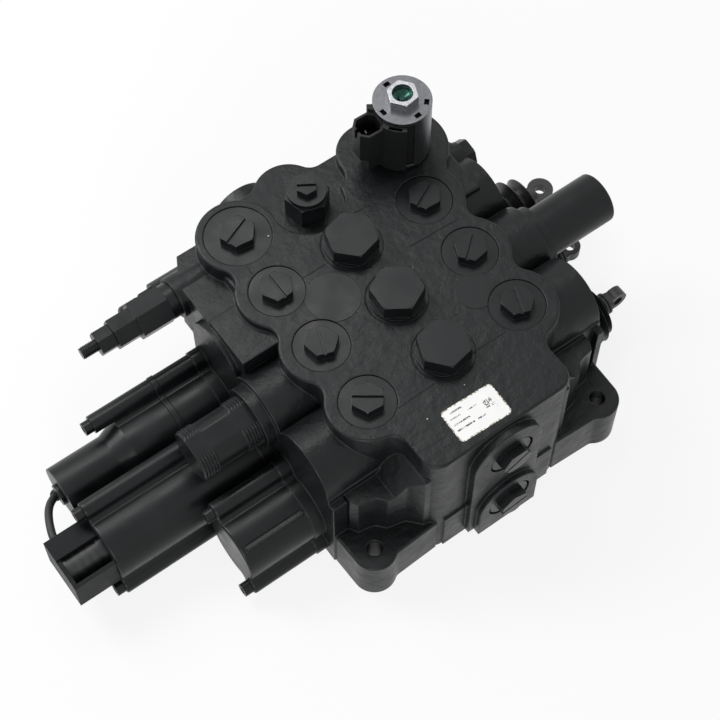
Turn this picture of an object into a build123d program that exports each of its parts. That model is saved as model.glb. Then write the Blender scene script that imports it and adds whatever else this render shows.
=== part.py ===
from build123d import *
import math
import os

os.makedirs("parts", exist_ok=True)

# Three-spool monoblock directional control valve, in millimetres.
# Origin: the flat underside, below the middle spool and the middle of the plug grid.
# X runs along the spools towards their eyes, Y towards the inlet side, Z up.

# Housing
body_height = 125.0
left_face = -111.0
right_face = 112.0
spool_pitch = 50.0
spool_height = 38.0
spool_rows = {"front": -spool_pitch, "middle": 0.0, "rear": spool_pitch}
barrel_height = 88.0
barrel_r = 27.0
block_half_width = 78.0
plug_column = 60.0
plug_lobe_r = 28.0
front_block_half = 57.0
front_y = -115.0
shoulder_top = 83.0
slope_top = 103.0
slope_foot_x = 74.0
flange_y = 83.0
rear_y = 138.0
rear_top = 118.0
rear_low_top = 58.0
shelf_top = 111.0
valley_r = 11.0
cast_edge_r = 1.6

# Mounting ears
ear_x = 94.0
ear_y = -105.0
ear_r = 15.3
ear_top = 40.0
ear_hole_r = 5.5

# Spools
spool_r = 11.0
spool_fit = 0.03
spool_left_end = -104.0
neck_r = 6.5
eye_x = {"front": 155.0, "middle": 155.0, "rear": 168.0}
eye_r = {"front": 7.8, "middle": 7.8, "rear": 9.5}
eye_thickness = 8.0
eye_hole_r = 4.0
boot_folds = 4
boot_mouth = {"front": 140.0, "middle": 140.0, "rear": 157.7}
boot_r = spool_r + 10.5
boot_last_r = spool_r + 8.0
clip_collar_r = 8.0
clip_collar_w = 4.0
boot_valley_r = spool_r + 2.8
boot_wall = 1.7
core_r = 15.0
pressure_core_w = 10.0
bridge_x = 28.0
bridge_w = 9.0
port_core_w = 14.0
tank_x = 88.0
tank_w = 10.0

# Cavities under the plugs on the top face
thread_fit = 0.03
plug_thread_r = 13.5
plug_thread_depth = 26.0
plug_nose_r = 11.0
plug_flange_r = 18.75
flange_recess = 4.0
recess_clearance = 0.35
slotted_hex_af = 20.0
slotted_hex_h = 7.0
check_hex_af = 31.75
check_hex_h = 13.0
check_spotface_r = 20.8
check_seat_z = 72.0
check_passage_r = 8.0
poppet_r = 11.0
poppet_fit = 0.05
poppet_lift = 6.0
spring_steps = 12
gallery_z = 58.0
gallery_r = 7.0
bridge_z = 81.0
bridge_r = 5.5
riser_r = 0.43 * bridge_w

# Big cavity plug, relief cartridge and solenoid valve
big_plug_at = (-57.0, spool_pitch + 50.0)
big_plug_flange_r = 22.8
big_thread_r = 17.0
big_hex_af = 22.0
big_lobe_r = 28.5
relief_at = (-4.5, 94.5)
relief_pocket_r = 25.5
relief_thread_r = 12.0
solenoid_at = (73.0, 94.0)
solenoid_lobe_r = 33.0
solenoid_thread_r = 11.0
coil_r = 19.85
coil_height = 53.0
solenoid_nut_af = 19.0
stem_stand = 4.0
can_window_r = 15.2
moulding_span = (137.0, 258.0)
moulding_r = 23.6
socket_angle = 178.0
socket_reach = 27.0
socket_mouth = body_height + 46.0

# Side relief valve, the plain fitting below it, and the plug at the right rear
side_face = -106.0
side_relief_y = 100.0
side_relief_z = 97.0
side_relief_r = 10.0
low_fitting_y = 124.0
low_fitting_z = 60.0
low_boss_end = -112.0
rear_plug_y = 82.0
rear_plug_z = 90.0
rear_boss_end = right_face + 1.0
rear_plug_r = 9.0

# Work ports and mounting threads on the underside, inlet on the back
port_thread_r = 12.6
port_depth = 19.0
inlet_at = (-30.0, 84.0)
outlet_at = (42.0, 42.0)
back_port_end = 142.0
inlet_thread_r = 15.2
inlet_depth = 20.0
rear_thread_r = 5.0
rear_thread_depth = 18.0
rear_thread_x = 45.0
rear_thread_y = 125.0

# End caps
gasket_t = 1.0
cap_r = 23.5
cap_cavity_r = 19.0
cap_screw_dy = 19.0
cap_screw_dz = 25.0
cap_rib_r = 6.5
cap_blend_r = 3.0
cap_edge_r = 1.5
cap_flange_t = 8.0
cap_end_wall = 6.0
middle_wall = -166.0
bolt_room_r = 12.0
cap_end = {"front": -170.0, "middle": -238.0}
rear_joint = -148.0
rear_plate_t = 4.0
rear_rib_end = -200.0
rear_end = -239.0
extension_r = 19.0
screw_r = 3.0
screw_head_r = 4.75
screw_head_h = 6.0
screw_bite = 14.0

# Port stubs, face plugs, lock solenoid and lead
stub_z = spool_height + 50.0
retainer_r = spool_r + 8.0
retainer_hole_r = spool_r + 2.0
retainer_t = 3.0
retainer_tab_w = 13.0
retainer_tab_z = 27.0
retainer_dz = 21.5
retainer_screw_r = 2.5
retainer_head_r = 4.4
stub_r = 18.5
stub_bore_r = 14.0
stub_thread_r = 16.5
stub_left_end = -165.0
stub_right_end = 174.0
face_plug_x = 3.0
face_plug_z = (90.0, 30.0)
pad_y = -121.0
lower_pad_y = -125.0
face_thread_r = 13.0
face_recess_r = 17.0
lock_end = -269.0
lock_frame_t = 3.0
lock_half_y = 19.5
lock_coil_r = 13.0
lock_plunger_r = 4.0
lead_d = 5.6
gland_at = (rear_end - 1.6, 57.0, 25.3)


def block(x0, x1, y0, y1, z0, z1):
    """A box between two corners."""
    size = Box(x1 - x0, y1 - y0, z1 - z0)
    return Pos((x0 + x1) / 2, (y0 + y1) / 2, (z0 + z1) / 2) * size


def rod_x(r, x0, x1, y, z):
    """A cylinder along X."""
    return Pos((x0 + x1) / 2, y, z) * Rot(0, 90, 0) * Cylinder(r, abs(x1 - x0))


def rod_y(r, x, y0, y1, z):
    """A cylinder along Y."""
    return Pos(x, (y0 + y1) / 2, z) * Rot(90, 0, 0) * Cylinder(r, abs(y1 - y0))


def rod_z(r, x, y, z0, z1):
    """An upright cylinder."""
    return Pos(x, y, (z0 + z1) / 2) * Cylinder(r, abs(z1 - z0))


def hexagon(af, height, angle):
    """An upright hexagonal bar with one flat facing the angle, its base at z 0, top corners turned off."""
    corner_r = af / math.sqrt(3)
    bar = extrude(Rot(0, 0, angle + 30) * RegularPolygon(corner_r, 6), height)
    turned = Pos(0, 0, height / 2) * Cylinder(corner_r * 1.02, height)
    turned = chamfer(turned.edges().group_by(Axis.Z)[-1], corner_r * 0.08)
    return bar & turned


def slotted_head(af, height, angle):
    """A hexagonal head with a screwdriver slot across two flats."""
    slot = Pos(0, 0, height) * Rot(0, 0, angle) * Box(af * 1.3, 2.0, 3.2)
    return hexagon(af, height, angle) - slot


def coil_spring(outer_r, wire, length, turns):
    """A spring of square wire along Z from 0, in short straight lengths, its ends ground flat."""
    mean_r = outer_r - wire / 2
    steps = round(turns * spring_steps)
    points = []
    for i in range(steps + 1):
        turned = math.radians(360 * i / spring_steps)
        points.append((mean_r * math.cos(turned), mean_r * math.sin(turned), length * i / steps))
    path = Polyline(*points)
    section = Plane(path @ 0, z_dir=path % 0, x_dir=(1, 0, 0)) * Rectangle(wire, wire)
    swept = sweep(section, path=path, transition=Transition.RIGHT)
    return swept & Pos(0, 0, length / 2) * Cylinder(outer_r + wire, length)


def slab(shapes, z0, z1, inner_r=valley_r):
    """A plan outline, its inner corners filled with a casting radius, raised from z0 to z1."""
    outline = Sketch() + shapes
    outline = offset(outline, amount=inner_r)
    outline = offset(outline, amount=-inner_r)
    return Pos(0, 0, z0) * extrude(outline, z1 - z0, dir=(0, 0, 1))


def mirrored(side, *points):
    """A closed outline given for the right side, mirrored for the left one."""
    return make_face(Polyline(*[(side * x, y) for x, y in points], close=True))


def plan_box(x0, x1, y0, y1):
    return Pos((x0 + x1) / 2, (y0 + y1) / 2) * Rectangle(x1 - x0, y1 - y0)


def housing_solid():
    """The casting's outside: plug lobes, barrels, front and rear blocks, ears and pads."""
    lobes = []
    for side in (-1, 1):
        for y in spool_rows.values():
            lobes.append(Pos(side * plug_column, y) * Circle(plug_lobe_r))
    lobes.append(Pos(*big_plug_at) * Circle(big_lobe_r))
    lobes.append(Pos(*solenoid_at) * Circle(solenoid_lobe_r))
    lobes.append(Pos(solenoid_at[0] - 18, solenoid_at[1] + 8) * Circle(25))
    lobes.append(plan_box(-plug_column, plug_column, -block_half_width, 92))
    lobes.append(plan_box(-front_block_half, front_block_half, front_y, -block_half_width + 5))
    top = slab(lobes, 30, body_height)
    corner = top.edges().filter_by(Axis.Z).filter_by_position(Axis.Y, front_y - 1, front_y + 1)
    top = fillet(corner, 12)
    top = fillet(top.edges().group_by(Axis.Z)[-1], cast_edge_r)
    relief_floor = body_height - rear_top
    top -= rod_z(relief_pocket_r, *relief_at, rear_top, body_height + 1)
    rear_notch = block(relief_at[0] - 20, relief_at[0] + 22, 104, 150, rear_top, rear_top + relief_floor + 1)
    top -= rear_notch

    lower = block(left_face, right_face, -block_half_width, block_half_width, 0, barrel_height)
    barrels = [rod_x(barrel_r, left_face, right_face, y, barrel_height) for y in spool_rows.values()]
    flanges = [
        block(left_face, left_face + 11, -flange_y, 0, 0, barrel_height - 6),
        block(right_face - 5, right_face, -flange_y, 0, 0, barrel_height - 6),
    ]
    front_low = block(-front_block_half, front_block_half, front_y, -60, 0, 60)
    front_low = fillet(front_low.edges().filter_by(Axis.Z).group_by(Axis.Y)[0], 12)
    foot = block(-front_block_half + 12, front_block_half - 12, front_y - 1.5, -80, 0, ear_top)

    rear_plan = [
        plan_box(-80, 100, 40, 108),
        plan_box(-66, 82, 40, 119),
        plan_box(-60, -10, 40, 127),
        Pos(-8, 112) * Circle(24),
    ]
    rear = slab(rear_plan, 0, rear_top)
    rear = fillet(rear.edges().group_by(Axis.Z)[-1], cast_edge_r)
    rear_low = block(-78, 84, 90, rear_y, 0, rear_low_top)
    rear_low = fillet(rear_low.edges().filter_by(Axis.Z).group_by(Axis.Y)[-1], 8)
    inlet_boss = rod_y(22, inlet_at[0], 110, back_port_end, inlet_at[1])
    outlet_boss = rod_y(21, outlet_at[0], 110, back_port_end, outlet_at[1])

    corner_cut = [(-side_face, 58), (-side_face, 99), (-side_face - 11, 118), (60, 118), (60, 58)]
    shelf = slab(mirrored(-1, *corner_cut), 62, shelf_top, 4)
    pad = block(-107, -74, 21, 60, 80, 119)
    low_boss = rod_x(14, low_boss_end, -60, low_fitting_y, low_fitting_z)
    relief_boss = rod_x(15, left_face, -70, side_relief_y, side_relief_z)
    plug_boss = rod_x(13.5, 80, rear_boss_end, rear_plug_y, rear_plug_z)
    collars = [
        rod_x(22.5, left_face - 8, -70, 0, stub_z),
        rod_x(22.5, 70, right_face + 8, 0, stub_z),
    ]
    ears = []
    for side in (-1, 1):
        ears += [ear(side), shoulder(side)]
    arch = rod_y(27, 0, pad_y, -90, 94)
    column = block(-27, 27, pad_y, -90, 4, 94)
    lower_boss = rod_y(24, face_plug_x, lower_pad_y, -90, face_plug_z[1])
    boss_foot = block(face_plug_x - 24, face_plug_x + 24, lower_pad_y, -90, 0, face_plug_z[1])
    pieces = [lower, front_low, foot, rear, rear_low, inlet_boss, outlet_boss, shelf, pad]
    pieces += [low_boss, relief_boss, plug_boss, arch, column, lower_boss, boss_foot]
    pieces += [*flanges, *barrels, *collars, *ears]
    return top + pieces


def ear(side):
    """A mounting ear: a round foot with a web that runs to the front block and the end flange."""
    web = [
        (50, -70),
        (110, -74),
        (110, -82),
        (ear_x + ear_r, ear_y),
        (ear_x - 6, front_y - 1.5),
        (50, front_y),
    ]
    plan = [mirrored(side, *web), Pos(side * ear_x, ear_y) * Circle(ear_r)]
    foot = slab(plan, 0, ear_top, 6)
    return fillet(foot.edges().group_by(Axis.Z)[-1], cast_edge_r)


def shoulder(side):
    """The stepped wall above an ear; its top is flat outside and slopes up to the front block."""
    wall = [
        (50, -60),
        (99, -60),
        (99, -84),
        (96, -89.5),
        (89, -90.5),
        (84, -92),
        (79, -98),
        (66, -101),
        (58, -110),
        (50, -111),
    ]
    body = slab(mirrored(side, *wall), 0, slope_top, 4)
    profile = [
        (48, 0),
        (101, 0),
        (101, shoulder_top),
        (slope_foot_x, shoulder_top),
        (front_block_half + 1, slope_top),
        (48, slope_top),
    ]
    sweep_y = Plane.XZ.offset(50) * mirrored(side, *profile)
    return body & extrude(sweep_y, 70, dir=(0, -1, 0))


def passages():
    """Bores, cored galleries, ports and threads cut in the casting."""
    cuts = []
    for y in spool_rows.values():
        cuts.append(rod_x(spool_r + spool_fit, left_face - 2, right_face + 2, y, spool_height))
        cores = [(0, pressure_core_w), (bridge_x, bridge_w), (-bridge_x, bridge_w)]
        cores += [(plug_column, port_core_w), (-plug_column, port_core_w)]
        cores += [(tank_x, tank_w), (-tank_x, tank_w)]
        for x, width in cores:
            cuts.append(rod_x(core_r, x - width / 2, x + width / 2, y, spool_height))
        cuts.append(rod_x(bridge_r, -bridge_x, bridge_x, y, bridge_z))
        for side in (-1, 1):
            cuts.append(rod_z(riser_r, side * bridge_x, y, spool_height, bridge_z))
        cuts += check_cavity(0, y)
        for side in (-1, 1):
            cuts += port_cavity(side * plug_column, y)
    cuts.append(rod_y(gallery_r, 0, -62, 104, gallery_z))
    cuts += back_ports()
    for side in (-1, 1):
        cuts.append(rod_y(gallery_r, side * tank_x, -62, 62, spool_height))
        cuts.append(rod_z(gallery_r, side * tank_x, 0, spool_height, stub_z))
        cuts.append(rod_z(ear_hole_r, side * ear_x, ear_y, -1, ear_top + 1))
        cuts.append(rod_z(rear_thread_r, side * rear_thread_x, rear_thread_y, -1, rear_thread_depth))
    cuts.append(rod_x(stub_thread_r, left_face - 9, -92, 0, stub_z))
    cuts.append(rod_x(stub_thread_r, 92, right_face + 9, 0, stub_z))
    cuts.append(rod_x(10, -92, -tank_x, 0, stub_z))
    cuts.append(rod_x(10, tank_x, 92, 0, stub_z))
    cuts += top_valve_cavities()
    for z, face in zip(face_plug_z, (pad_y, lower_pad_y)):
        cuts.append(rod_y(face_recess_r, face_plug_x, face - 1, face + 3, z))
        cuts.append(rod_y(face_thread_r + thread_fit, face_plug_x, face, face + 22, z))
    for y in spool_rows.values():
        for sign in (-1, 1):
            screw_y = y + sign * cap_screw_dy
            screw_z = spool_height + sign * cap_screw_dz
            cuts.append(rod_x(screw_r + thread_fit, left_face - 1, left_face + screw_bite + 1, screw_y, screw_z))
            cuts.append(rod_x(2.5 + thread_fit, right_face - 11, right_face + 1, y, spool_height + sign * retainer_dz))
    return cuts


def back_ports():
    """Inlet and outlet on the back: threads, and drillings to the pressure and tank galleries."""
    inlet_x, inlet_z = inlet_at
    outlet_x, outlet_z = outlet_at
    thread_y = back_port_end - inlet_depth
    relief_x, relief_y = relief_at
    return [
        rod_y(inlet_thread_r, inlet_x, thread_y, back_port_end + 1, inlet_z),
        rod_y(9, inlet_x, relief_y, thread_y, inlet_z),
        rod_x(6, inlet_x, relief_x, relief_y, inlet_z - 6),
        rod_y(inlet_thread_r, outlet_x, thread_y, back_port_end + 1, outlet_z),
        rod_y(9, outlet_x, 84, thread_y, outlet_z),
        rod_x(8, outlet_x, tank_x, 90, outlet_z),
        rod_y(gallery_r, tank_x, 60, 90, spool_height),
    ]


def check_cavity(x, y):
    """The stepped bore of a load check, with its conical seat."""
    thread_floor = body_height - plug_thread_depth
    seat = Pos(x, y, check_seat_z + 1.5) * Cone(check_passage_r, poppet_r + poppet_fit, 3)
    return [
        rod_z(check_spotface_r, x, y, body_height - 0.5, body_height + 1),
        rod_z(plug_thread_r + thread_fit, x, y, thread_floor, body_height + 1),
        rod_z(poppet_r + poppet_fit, x, y, check_seat_z + 3, thread_floor),
        seat,
        rod_z(check_passage_r, x, y, gallery_z, check_seat_z + 0.01),
    ]


def port_cavity(x, y):
    """A work port from the underside up past the spool to the cavity under its plug."""
    thread_floor = body_height - plug_thread_depth
    recess_r = plug_flange_r + recess_clearance
    return [
        rod_z(port_thread_r, x, y, -1, port_depth),
        rod_z(9, x, y, port_depth - 1, check_seat_z),
        rod_z(plug_nose_r + thread_fit, x, y, check_seat_z, thread_floor),
        rod_z(plug_thread_r + thread_fit, x, y, thread_floor, body_height),
        rod_z(recess_r, x, y, body_height - flange_recess, body_height + 1),
    ]


def top_valve_cavities():
    """Bores of the big plug, the relief cartridge, the solenoid valve and the side fittings."""
    bx, by = big_plug_at
    rx, ry = relief_at
    sx, sy = solenoid_at
    big_recess_r = big_plug_flange_r + recess_clearance
    return [
        rod_z(big_recess_r, bx, by, body_height - flange_recess, body_height + 1),
        rod_z(big_thread_r + thread_fit, bx, by, 93, body_height),
        rod_z(12, bx, by, 60, 93),
        rod_x(5, bx, 0, by, 66),
        rod_z(relief_thread_r + thread_fit, rx, ry, 88, rear_top + 1),
        rod_z(8, rx, ry, gallery_z, 88),
        rod_z(solenoid_thread_r + thread_fit, sx, sy, 84, body_height + 1),
        rod_z(7, sx, sy, 62, 84),
        rod_x(4, relief_at[0], sx, sy, 68),
        rod_x(side_relief_r + thread_fit, left_face - 1, -82, side_relief_y, side_relief_z),
        rod_x(5, -83, bx, side_relief_y, side_relief_z - 5),
        rod_x(9 + thread_fit, low_boss_end - 1, low_boss_end + 22, low_fitting_y, low_fitting_z),
        rod_x(rear_plug_r + thread_fit, rear_boss_end - 16, rear_boss_end + 1, rear_plug_y, rear_plug_z),
    ]


def valve_housing():
    return housing_solid() - passages()


def spool(row):
    """A ground steel spool with metering grooves, a neck and a flat eye."""
    y = spool_rows[row]
    end = eye_x[row]
    lug_r = eye_r[row]
    bar = rod_x(spool_r, spool_left_end, right_face + 14, y, spool_height)
    for x in (-bridge_x * 0.5, bridge_x * 0.5, -74, 74, -44, 44):
        groove = rod_x(spool_r + 1, x - 5, x + 5, y, spool_height)
        bar -= groove - rod_x(spool_r - 3, x - 6, x + 6, y, spool_height)
    bar += rod_x(neck_r, right_face + 13, end - lug_r * 0.6, y, spool_height)
    lug = Pos(end, 0, 0) * Cylinder(lug_r, eye_thickness)
    lug += block(end - lug_r, end, -neck_r, neck_r, -eye_thickness / 2, eye_thickness / 2)
    lug -= Pos(end, 0, 0) * Cylinder(eye_hole_r, eye_thickness + 2)
    room = end - lug_r - boot_mouth[row]
    if room > clip_collar_w:
        ring_at = end - lug_r - clip_collar_w
        collar = rod_x(clip_collar_r, ring_at, ring_at + clip_collar_w, y, spool_height)
        groove_at = ring_at + clip_collar_w / 2
        bar += collar - rod_x(clip_collar_r + 1, groove_at - 0.6, groove_at + 0.6, y, spool_height)
    turn = 90 if row == "front" else 0
    bar += Pos(0, y, spool_height) * Rot(turn, 0, 0) * lug
    bar -= rod_x(6 + thread_fit, spool_left_end - 1, spool_left_end + 14, y, spool_height)
    return bar


def spool_end_bolt(row, head_x, collar_x):
    """The shouldered bolt in the spool's left end, with the collar between its springs."""
    y = spool_rows[row]
    bolt = rod_x(6, head_x, spool_left_end + 13, y, spool_height)
    bolt += rod_x(17, collar_x - 2, collar_x + 2, y, spool_height)
    return bolt


def centring_springs(row, collar_x, wall_x):
    """The two springs, one each side of the collar."""
    y = spool_rows[row]
    inner_end = left_face - 0.3
    inner = coil_spring(16.5, 3.0, inner_end - (collar_x + 2) - 0.6, 4)
    outer = coil_spring(16.5, 3.0, (collar_x - 2) - wall_x - 0.6, 4)
    lay = Rot(0, 90, 0)
    group = [
        Pos(collar_x + 2.3, y, spool_height) * lay * inner,
        Pos(wall_x + 0.3, y, spool_height) * lay * outer,
    ]
    return Compound(children=[s for part in group for s in part.solids()])


def boot(row):
    """A rubber bellows over the spool's neck."""
    y = spool_rows[row]
    start = right_face + 3.3
    first_fold = start + 3.3
    mouth = boot_mouth[row]
    pitch = (mouth - first_fold) / boot_folds
    outer = [(start, boot_valley_r), (first_fold, boot_valley_r)]
    for i in range(boot_folds):
        last = i == boot_folds - 1
        outer.append((first_fold + pitch * (i + 0.5), boot_last_r if last else boot_r))
        outer.append((first_fold + pitch * (i + 1), neck_r + 2.4 if last else boot_valley_r))
    inner = [(x, r - boot_wall) for x, r in outer]
    inner[-1] = (mouth, neck_r + 0.3)
    profile = Polygon(*outer, *reversed(inner), align=None)
    bellows = revolve(profile, axis=Axis.X)
    return Pos(0, y, spool_height) * bellows


def boot_retainers():
    """Three flat plates that hold the boots and seals to the right face."""
    plates = []
    for y in spool_rows.values():
        top = right_face + retainer_t
        low, high = spool_height - retainer_tab_z, spool_height + retainer_tab_z
        plate = rod_x(retainer_r, right_face, top, y, spool_height)
        plate += block(right_face, top, y - retainer_tab_w / 2, y + retainer_tab_w / 2, low, high)
        plate -= rod_x(retainer_hole_r, right_face - 1, top + 1, y, spool_height)
        for sign in (-1, 1):
            z = spool_height + sign * retainer_dz
            plate -= rod_x(retainer_screw_r + 0.3, right_face - 1, top + 1, y, z)
        plates.append(plate)
    return Compound(children=[s for p in plates for s in p.solids()])


def retainer_screws():
    screws = []
    for y in spool_rows.values():
        for sign in (-1, 1):
            z = spool_height + sign * retainer_dz
            seat = right_face + retainer_t
            screw = rod_x(retainer_screw_r, right_face - 10, seat, y, z)
            screw += rod_x(retainer_head_r, seat, seat + 3, y, z)
            screws.append(screw)
    return Compound(children=[s for p in screws for s in p.solids()])


def cap_outline(y, r, rib_r):
    """The cap seen along the spool: a round body and two diagonal screw ribs."""
    shape = Pos(y, spool_height) * Circle(r)
    for sign in (-1, 1):
        at = (y + sign * cap_screw_dy, spool_height + sign * cap_screw_dz)
        shape += Pos(*at) * Circle(rib_r)
        middle = (y + sign * cap_screw_dy * 0.5, spool_height + sign * cap_screw_dz * 0.5)
        turn = math.degrees(math.atan2(cap_screw_dz, cap_screw_dy))
        shape += Pos(*middle) * Rot(0, 0, turn) * Rectangle(math.hypot(cap_screw_dy, cap_screw_dz), rib_r * 1.5)
    return offset(offset(shape, amount=cap_blend_r), amount=-cap_blend_r)


def along_x(outline, x0, x1):
    """Raises a (Y, Z) outline between two X positions."""
    return extrude(Plane((x0, 0, 0), x_dir=(0, 1, 0), z_dir=(1, 0, 0)) * outline, x1 - x0)


def cap_screw_holes(y, x0, x1):
    holes = []
    for sign in (-1, 1):
        holes.append(rod_x(screw_r + 0.4, x0, x1, y + sign * cap_screw_dy, spool_height + sign * cap_screw_dz))
    return holes


def end_cap(row):
    """A cast cap over the spool's spring end, with a thick flange and screw ribs to its end."""
    y = spool_rows[row]
    start = left_face - gasket_t
    end = cap_end[row]
    cap = along_x(cap_outline(y, cap_r, cap_rib_r), end, start)
    cap = fillet(cap.edges().group_by(Axis.X)[0], cap_edge_r)
    cap += along_x(cap_outline(y, cap_r + 1, cap_rib_r + 1), start - cap_flange_t, start)
    cap -= rod_x(cap_cavity_r, end + cap_end_wall, start + 1, y, spool_height)
    cap -= cap_screw_holes(y, end - 1, start + 1)
    if row == "front":
        ridge = block(end + 4, start - cap_flange_t - 2, y - 15, y - 12, spool_height + 15, spool_height + 22.5)
        cap += ridge - rod_x(cap_r - 1, end, start, y, spool_height)
    if row == "middle":
        cap += rod_x(cap_r - 1, end + cap_end_wall, middle_wall, y, spool_height)
        cap -= rod_x(bolt_room_r, end + cap_end_wall, middle_wall + 1, y, spool_height)
        cap -= rod_x(lock_plunger_r + poppet_fit, end - 1, end + cap_end_wall + 1, y, spool_height)
    return cap


def rear_cap():
    """The first length of the rear cap, up to its thin plate."""
    y = spool_rows["rear"]
    start = left_face - gasket_t
    cap = along_x(cap_outline(y, cap_r, cap_rib_r), rear_joint, start)
    cap += along_x(cap_outline(y, cap_r + 1, cap_rib_r + 1), start - cap_flange_t, start)
    cap -= rod_x(cap_cavity_r, rear_joint - 1, start + 1, y, spool_height)
    return cap - cap_screw_holes(y, rear_joint - 1, start + 1)


def rear_spacer_plate():
    y = spool_rows["rear"]
    plate = along_x(cap_outline(y, cap_r + 0.6, cap_rib_r + 0.6), rear_joint - rear_plate_t, rear_joint)
    plate -= rod_x(cap_cavity_r, rear_joint - 5, rear_joint + 1, y, spool_height)
    return plate - cap_screw_holes(y, rear_joint - 5, rear_joint + 1)


def rear_cap_extension():
    """The detent housing: a second flanged length that tapers to a smaller round end."""
    y = spool_rows["rear"]
    start = rear_joint - rear_plate_t
    body = along_x(cap_outline(y, cap_r, cap_rib_r), start - 34, start)
    for sign in (-1, 1):
        body += rod_x(cap_rib_r, rear_rib_end, start, y + sign * cap_screw_dy, spool_height + sign * cap_screw_dz)
    taper = Pos(start - 40, y, spool_height) * Rot(0, -90, 0) * Cone(cap_r, extension_r, 12)
    body += taper
    body += rod_x(extension_r, rear_end, start - 40, y, spool_height)
    body -= rod_x(cap_cavity_r - 4, rear_end + cap_end_wall, start + 1, y, spool_height)
    return body - cap_screw_holes(y, rear_rib_end - 1, start + 1)


def cap_gaskets():
    sheets = []
    for y in spool_rows.values():
        sheet = along_x(cap_outline(y, cap_r + 1, cap_rib_r + 1), left_face - gasket_t, left_face)
        sheet -= rod_x(cap_cavity_r, left_face - 2, left_face + 1, y, spool_height)
        sheet -= cap_screw_holes(y, left_face - 2, left_face + 1)
        sheets.append(sheet)
    return Compound(children=[s for p in sheets for s in p.solids()])


def cap_screws():
    """Two socket-head screws to a cap."""
    screws = []
    for row, y in spool_rows.items():
        seat = rear_rib_end if row == "rear" else cap_end[row]
        for sign in (-1, 1):
            at = (y + sign * cap_screw_dy, spool_height + sign * cap_screw_dz)
            screw = rod_x(screw_r, seat, left_face + screw_bite, *at)
            head = rod_x(screw_head_r, seat - screw_head_h, seat, *at)
            socket = Pos(seat - screw_head_h - 0.1, *at) * Rot(0, 90, 0) * extrude(RegularPolygon(2.9, 6), 3.2)
            screws.append(screw + (head - socket))
    return Compound(children=[s for p in screws for s in p.solids()])


def load_check_plug(y, angle):
    """A big hexagon plug whose bore guides the check spring."""
    floor = body_height - plug_thread_depth + 1
    plug = rod_z(plug_thread_r, 0, y, floor, body_height - 0.5)
    plug += rod_z(18.2, 0, y, body_height - 0.5, body_height + 1.2)
    plug += Pos(0, y, body_height + 1.2) * hexagon(check_hex_af, check_hex_h - 1.2, angle)
    return plug - rod_z(7.5, 0, y, floor - 1, floor + 14)


def load_check_poppet(y):
    """A hollow poppet with a cone that sits on the seat in the housing."""
    seat_gap = 0.02
    low = check_seat_z + 1.5 + 0.1
    top = body_height - plug_thread_depth - poppet_lift - 1
    body = rod_z(poppet_r, 0, y, low + 3.2, top)
    body += Pos(0, y, low + 1.6 + seat_gap) * Cone(check_passage_r + 0.1, poppet_r, 3.2)
    return body - rod_z(7.5, 0, y, low + 6, top + 1)


def load_check_spring(y):
    bottom = check_seat_z + 1.6 + 6 + 0.3
    top = body_height - plug_thread_depth + 1 + 14 - 0.3
    return Pos(0, y, bottom) * coil_spring(6.8, 1.6, top - bottom, 5)


def port_plug(x, y, angle):
    """A cavity plug with a flush flange and a low slotted hexagon."""
    base = body_height - flange_recess
    floor = body_height - plug_thread_depth + 0.5
    plug = rod_z(plug_flange_r, x, y, base, body_height - 0.6)
    plug += rod_z(plug_thread_r, x, y, floor, base)
    plug += rod_z(plug_nose_r, x, y, check_seat_z + 6, floor)
    return plug + Pos(x, y, body_height - 0.6) * slotted_head(slotted_hex_af, slotted_hex_h, angle)


def port_plugs():
    """The six cavity plugs, each screwed in to its own angle."""
    angles = {(-1, 1): 90, (-1, 0): 70, (-1, -1): 144, (1, 1): 27, (1, 0): 39, (1, -1): 69}
    solids = []
    for (side, row), angle in angles.items():
        solids += port_plug(side * plug_column, row * spool_pitch, angle).solids()
    return Compound(children=solids)


def big_plug():
    x, y = big_plug_at
    base = body_height - flange_recess
    plug = rod_z(big_plug_flange_r, x, y, base, body_height - 0.6)
    plug += rod_z(big_thread_r, x, y, 94, base)
    return plug + Pos(x, y, body_height - 0.6) * slotted_head(big_hex_af, slotted_hex_h, 22)


def core_plugs():
    """Two flush discs that close the casting's core openings; one is cut by two plug recesses."""
    left = rod_z(18.5, -33.3, 24.5, body_height, body_height + 0.3)
    left -= rod_z(plug_flange_r + recess_clearance, -plug_column, 0, body_height - 1, body_height + 1)
    left -= rod_z(plug_flange_r + recess_clearance, -plug_column, spool_pitch, body_height - 1, body_height + 1)
    left -= rod_z(check_spotface_r + 0.3, 0, spool_pitch, body_height - 1, body_height + 1)
    left -= rod_z(check_spotface_r + 0.3, 0, 0, body_height - 1, body_height + 1)
    right = rod_z(13.5, 44.3, -26, body_height, body_height + 0.3)
    right -= rod_z(plug_flange_r + recess_clearance, plug_column, 0, body_height - 1, body_height + 1)
    right -= rod_z(plug_flange_r + recess_clearance, plug_column, -spool_pitch, body_height - 1, body_height + 1)
    return Compound(children=[*left.solids(), *right.solids()])


def relief_body():
    """The relief cartridge: thread and a tall hexagon turned round at its top."""
    x, y = relief_at
    body = rod_z(relief_thread_r, x, y, 90, rear_top)
    body += Pos(x, y, rear_top) * hexagon(27, 18, 12)
    body += rod_z(13.3, x, y, rear_top + 18, rear_top + 22)
    body -= rod_z(6.5, x, y, 97, rear_top + 15)
    body -= rod_z(4.0 + thread_fit, x, y, rear_top + 14, rear_top + 23)
    return body - rod_z(4.0, x, y, 89, 98)


def relief_adjuster():
    x, y = relief_at
    screw = rod_z(4.0, x, y, rear_top + 11, rear_top + 22.2)
    screw += rod_z(6.0, x, y, rear_top + 9, rear_top + 12)
    return screw + Pos(x, y, rear_top + 22.2) * slotted_head(13, 5, -33)


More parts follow.
